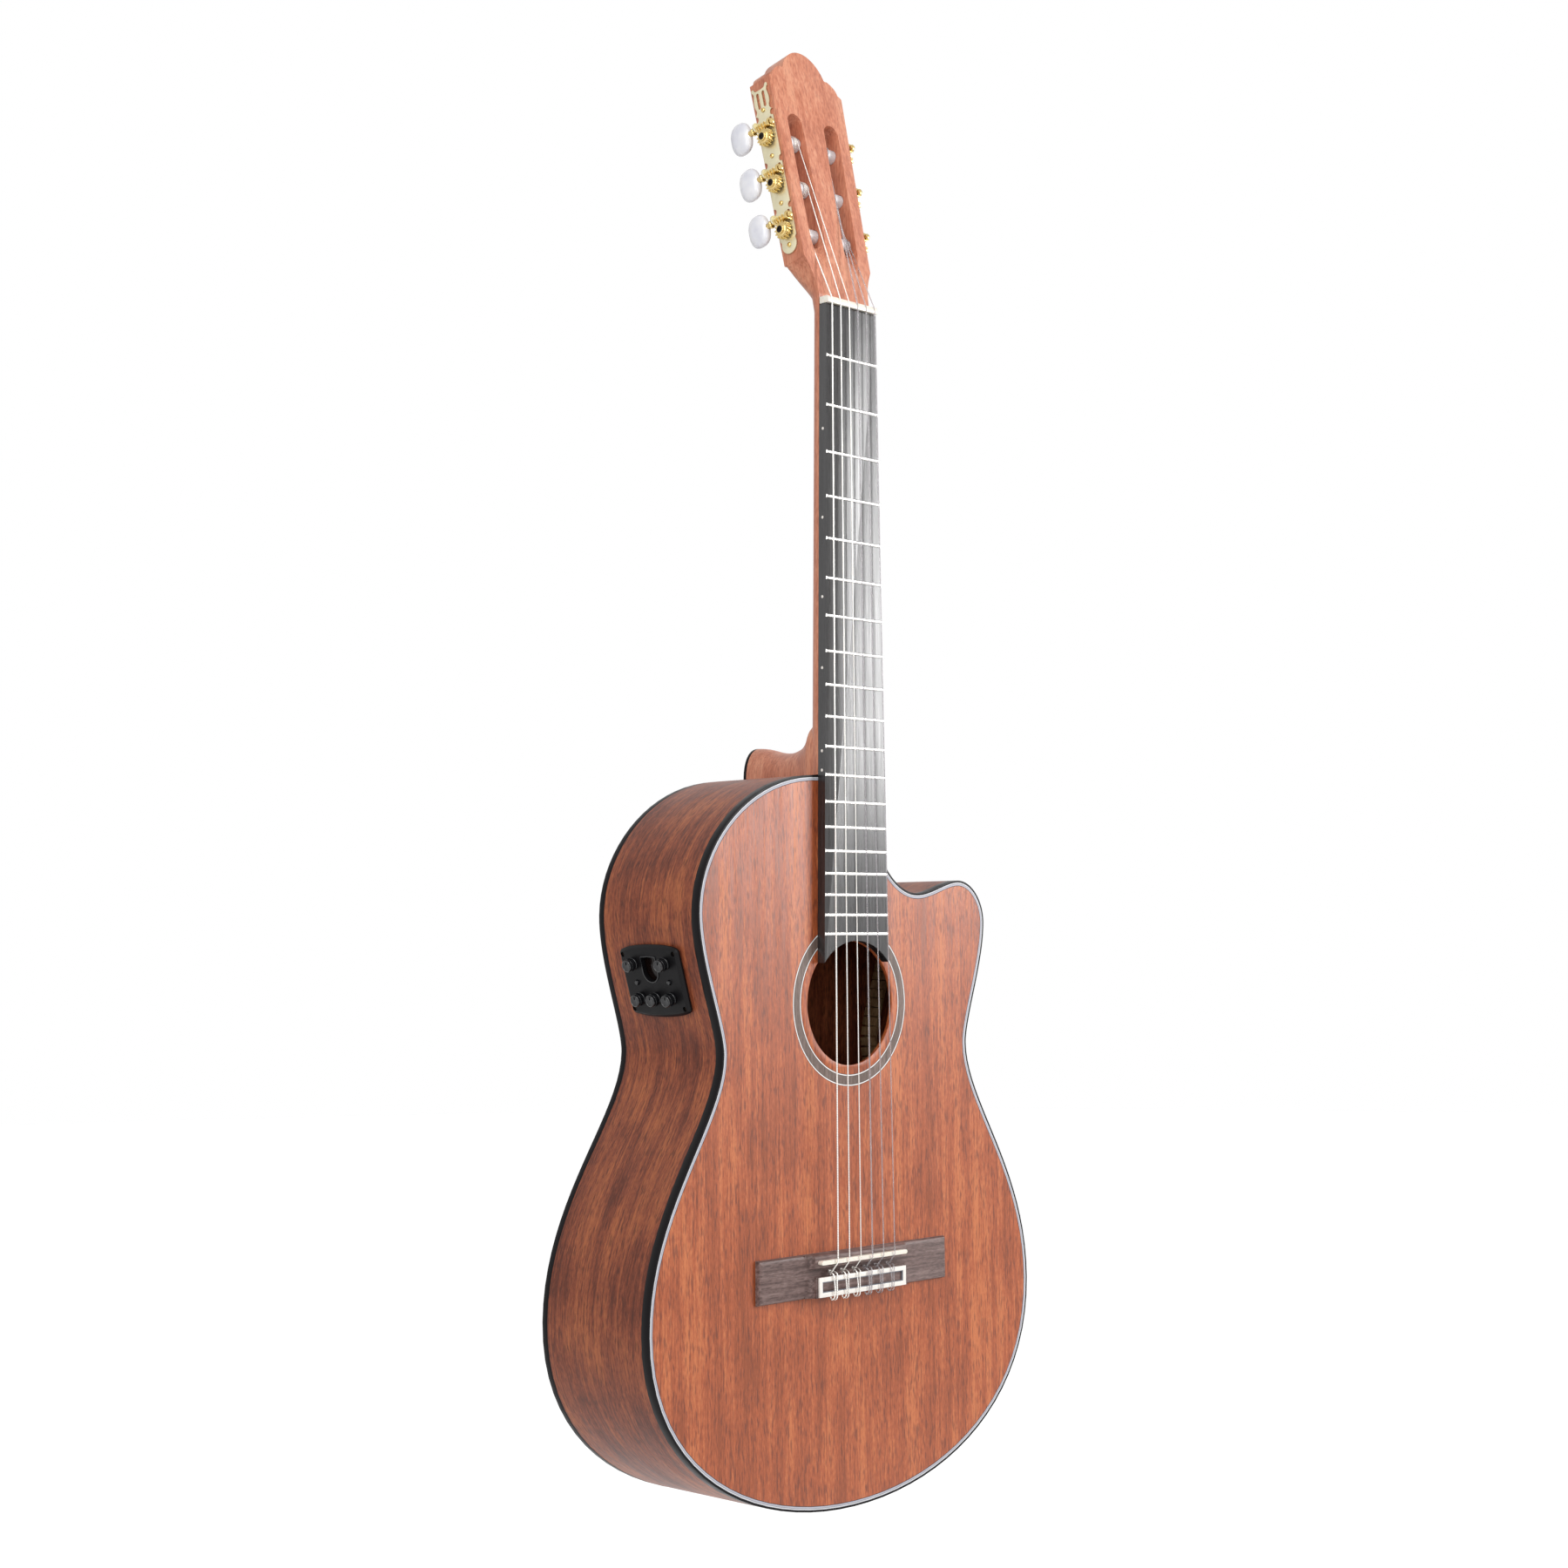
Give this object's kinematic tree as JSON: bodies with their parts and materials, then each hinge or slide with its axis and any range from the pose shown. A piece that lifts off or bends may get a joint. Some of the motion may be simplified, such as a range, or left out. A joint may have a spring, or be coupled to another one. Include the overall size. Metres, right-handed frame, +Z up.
{
  "type": "acoustic-electric classical guitar",
  "caption": "Nylon-string classical guitar with a cutaway body, slotted headstock with worm-gear tuning machines, tie bridge and a side-mounted preamp with an output jack.",
  "frame": {"origin": "tail end of the body on the centre line, about half way through the whole depth", "axes": "+Z up the neck towards the headstock, -Y out of the soundboard, +X towards the treble side with the cutaway"},
  "size_m": [0.379, 0.1192, 1.0159],
  "materials": {
    "mahogany_top": "satin, straight vertical grain",
    "mahogany_sides": "satin, ribbon figure",
    "mahogany_neck": "satin",
    "spruce_inside": "unfinished",
    "ebony": "satin black",
    "rosewood": "matte",
    "black_binding": "satin black",
    "grey_band": "satin marquetry band",
    "bone": "smooth bone white",
    "white_inlay": "smooth white",
    "pale_gold": "brushed pale gold plating",
    "gold": "polished gold plating",
    "pearl_white": "pearly white",
    "nylon_white": "smooth white",
    "wound_silver": "fine silver winding",
    "clear_nylon": "clear nylon",
    "black_plastic": "satin black",
    "display": "dark clear window",
    "battery_grey": "plain metal case"
  },
  "bodies": {
    "guitar": {"soundboard": "mahogany_top", "back_plate": "mahogany_sides", "sides": "mahogany_sides", "front_lining": "spruce_inside", "back_lining": "spruce_inside", "front_binding": "black_binding", "back_binding": "black_binding", "rosette": "grey_band", "tail_block": "mahogany_neck", "neck_block": "mahogany_neck", "top_bracing": "spruce_inside", "upper_brace": "spruce_inside", "back_brace_upper": "spruce_inside", "back_brace_lower": "spruce_inside", "neck": "mahogany_neck", "heel_cap": "black_binding", "fretboard": "ebony", "nut": "bone", "bridge": "rosewood", "saddle": "bone", "tie_block_frame": "white_inlay", "saddle_pickup": "wound_silver", "tuner_plate_bass": "pale_gold", "tuner_plate_treble": "pale_gold", "preamp_panel": "black_plastic", "preamp_housing": "black_plastic", "display_lens": "display", "battery": "battery_grey", "output_jack": "gold", "string_1": "clear_nylon", "string_2": "clear_nylon", "string_3": "clear_nylon", "string_4": "wound_silver", "string_5": "wound_silver", "string_6": "wound_silver"},
    "roller_1": {"tuner_roller_1": "nylon_white"},
    "worm_1": {"tuner_worm_1": "gold", "tuner_button_1": "pearl_white"},
    "roller_2": {"tuner_roller_2": "nylon_white"},
    "worm_2": {"tuner_worm_2": "gold", "tuner_button_2": "pearl_white"},
    "roller_3": {"tuner_roller_3": "nylon_white"},
    "worm_3": {"tuner_worm_3": "gold", "tuner_button_3": "pearl_white"},
    "roller_4": {"tuner_roller_4": "nylon_white"},
    "worm_4": {"tuner_worm_4": "gold", "tuner_button_4": "pearl_white"},
    "roller_5": {"tuner_roller_5": "nylon_white"},
    "worm_5": {"tuner_worm_5": "gold", "tuner_button_5": "pearl_white"},
    "roller_6": {"tuner_roller_6": "nylon_white"},
    "worm_6": {"tuner_worm_6": "gold", "tuner_button_6": "pearl_white"},
    "knob_1": {"preamp_knob_1": "black_plastic"},
    "knob_2": {"preamp_knob_2": "black_plastic"},
    "knob_3": {"preamp_knob_3": "black_plastic"},
    "knob_4": {"preamp_knob_4": "black_plastic"},
    "knob_5": {"preamp_knob_5": "black_plastic"},
    "push_button_1": {"preamp_button_1": "black_plastic"},
    "push_button_2": {"preamp_button_2": "black_plastic"}
  },
  "joints": [
    {"name": "roller_1_turn", "type": "hinge", "parent": "guitar", "child": "roller_1", "pos_m": [0.0393, -0.02752, 0.87395], "axis": [0.9997, -0.0053, -0.024], "continuous": true},
    {"name": "worm_1_turn", "type": "hinge", "parent": "guitar", "child": "worm_1", "pos_m": [0.0395, -0.02575, 0.88196], "axis": [0, 0.9763, -0.2164], "continuous": true},
    {"name": "roller_2_turn", "type": "hinge", "parent": "guitar", "child": "roller_2", "pos_m": [0.04016, -0.01995, 0.90812], "axis": [0.9997, -0.0053, -0.024], "continuous": true},
    {"name": "worm_2_turn", "type": "hinge", "parent": "guitar", "child": "worm_2", "pos_m": [0.04036, -0.01817, 0.91613], "axis": [0, 0.9763, -0.2164], "continuous": true},
    {"name": "roller_3_turn", "type": "hinge", "parent": "guitar", "child": "roller_3", "pos_m": [0.04102, -0.01237, 0.94229], "axis": [0.9997, -0.0053, -0.024], "continuous": true},
    {"name": "worm_3_turn", "type": "hinge", "parent": "guitar", "child": "worm_3", "pos_m": [0.04122, -0.0106, 0.9503], "axis": [0, 0.9763, -0.2164], "continuous": true},
    {"name": "roller_4_turn", "type": "hinge", "parent": "guitar", "child": "roller_4", "pos_m": [-0.04102, -0.01237, 0.94229], "axis": [0.9997, 0.0053, 0.024], "continuous": true},
    {"name": "worm_4_turn", "type": "hinge", "parent": "guitar", "child": "worm_4", "pos_m": [-0.04122, -0.0106, 0.9503], "axis": [0, 0.9763, -0.2164], "continuous": true},
    {"name": "roller_5_turn", "type": "hinge", "parent": "guitar", "child": "roller_5", "pos_m": [-0.04016, -0.01995, 0.90812], "axis": [0.9997, 0.0053, 0.024], "continuous": true},
    {"name": "worm_5_turn", "type": "hinge", "parent": "guitar", "child": "worm_5", "pos_m": [-0.04036, -0.01817, 0.91613], "axis": [0, 0.9763, -0.2164], "continuous": true},
    {"name": "roller_6_turn", "type": "hinge", "parent": "guitar", "child": "roller_6", "pos_m": [-0.0393, -0.02752, 0.87395], "axis": [0.9997, 0.0053, 0.024], "continuous": true},
    {"name": "worm_6_turn", "type": "hinge", "parent": "guitar", "child": "worm_6", "pos_m": [-0.0395, -0.02575, 0.88196], "axis": [0, 0.9763, -0.2164], "continuous": true},
    {"name": "knob_1_turn", "type": "hinge", "parent": "guitar", "child": "knob_1", "pos_m": [-0.14333, 0.0145, 0.36924], "axis": [-0.9578, 0, -0.2875], "range_deg": [-150, 150]},
    {"name": "knob_2_turn", "type": "hinge", "parent": "guitar", "child": "knob_2", "pos_m": [-0.14333, -0.0159, 0.36924], "axis": [-0.9578, 0, -0.2875], "range_deg": [-150, 150]},
    {"name": "knob_3_turn", "type": "hinge", "parent": "guitar", "child": "knob_3", "pos_m": [-0.13643, 0.014, 0.34625], "axis": [-0.9578, 0, -0.2875], "range_deg": [-150, 150]},
    {"name": "knob_4_turn", "type": "hinge", "parent": "guitar", "child": "knob_4", "pos_m": [-0.13643, -0.0007, 0.34625], "axis": [-0.9578, 0, -0.2875], "range_deg": [-150, 150]},
    {"name": "knob_5_turn", "type": "hinge", "parent": "guitar", "child": "knob_5", "pos_m": [-0.13643, -0.0154, 0.34625], "axis": [-0.9578, 0, -0.2875], "range_deg": [-150, 150]},
    {"name": "push_button_1_press", "type": "slide", "parent": "guitar", "child": "push_button_1", "axis": [-0.9578, 0, -0.2875], "range_m": [-0.001, 0], "stiffness_N_per_m": 400},
    {"name": "push_button_2_press", "type": "slide", "parent": "guitar", "child": "push_button_2", "axis": [-0.9578, 0, -0.2875], "range_m": [-0.001, 0], "stiffness_N_per_m": 400}
  ],
  "couplings": [
    {"joint": "roller_1_turn", "follows": "worm_1_turn", "ratio": 0.071429},
    {"joint": "roller_2_turn", "follows": "worm_2_turn", "ratio": 0.071429},
    {"joint": "roller_3_turn", "follows": "worm_3_turn", "ratio": 0.071429},
    {"joint": "roller_4_turn", "follows": "worm_4_turn", "ratio": 0.071429},
    {"joint": "roller_5_turn", "follows": "worm_5_turn", "ratio": 0.071429},
    {"joint": "roller_6_turn", "follows": "worm_6_turn", "ratio": 0.071429}
  ]
}
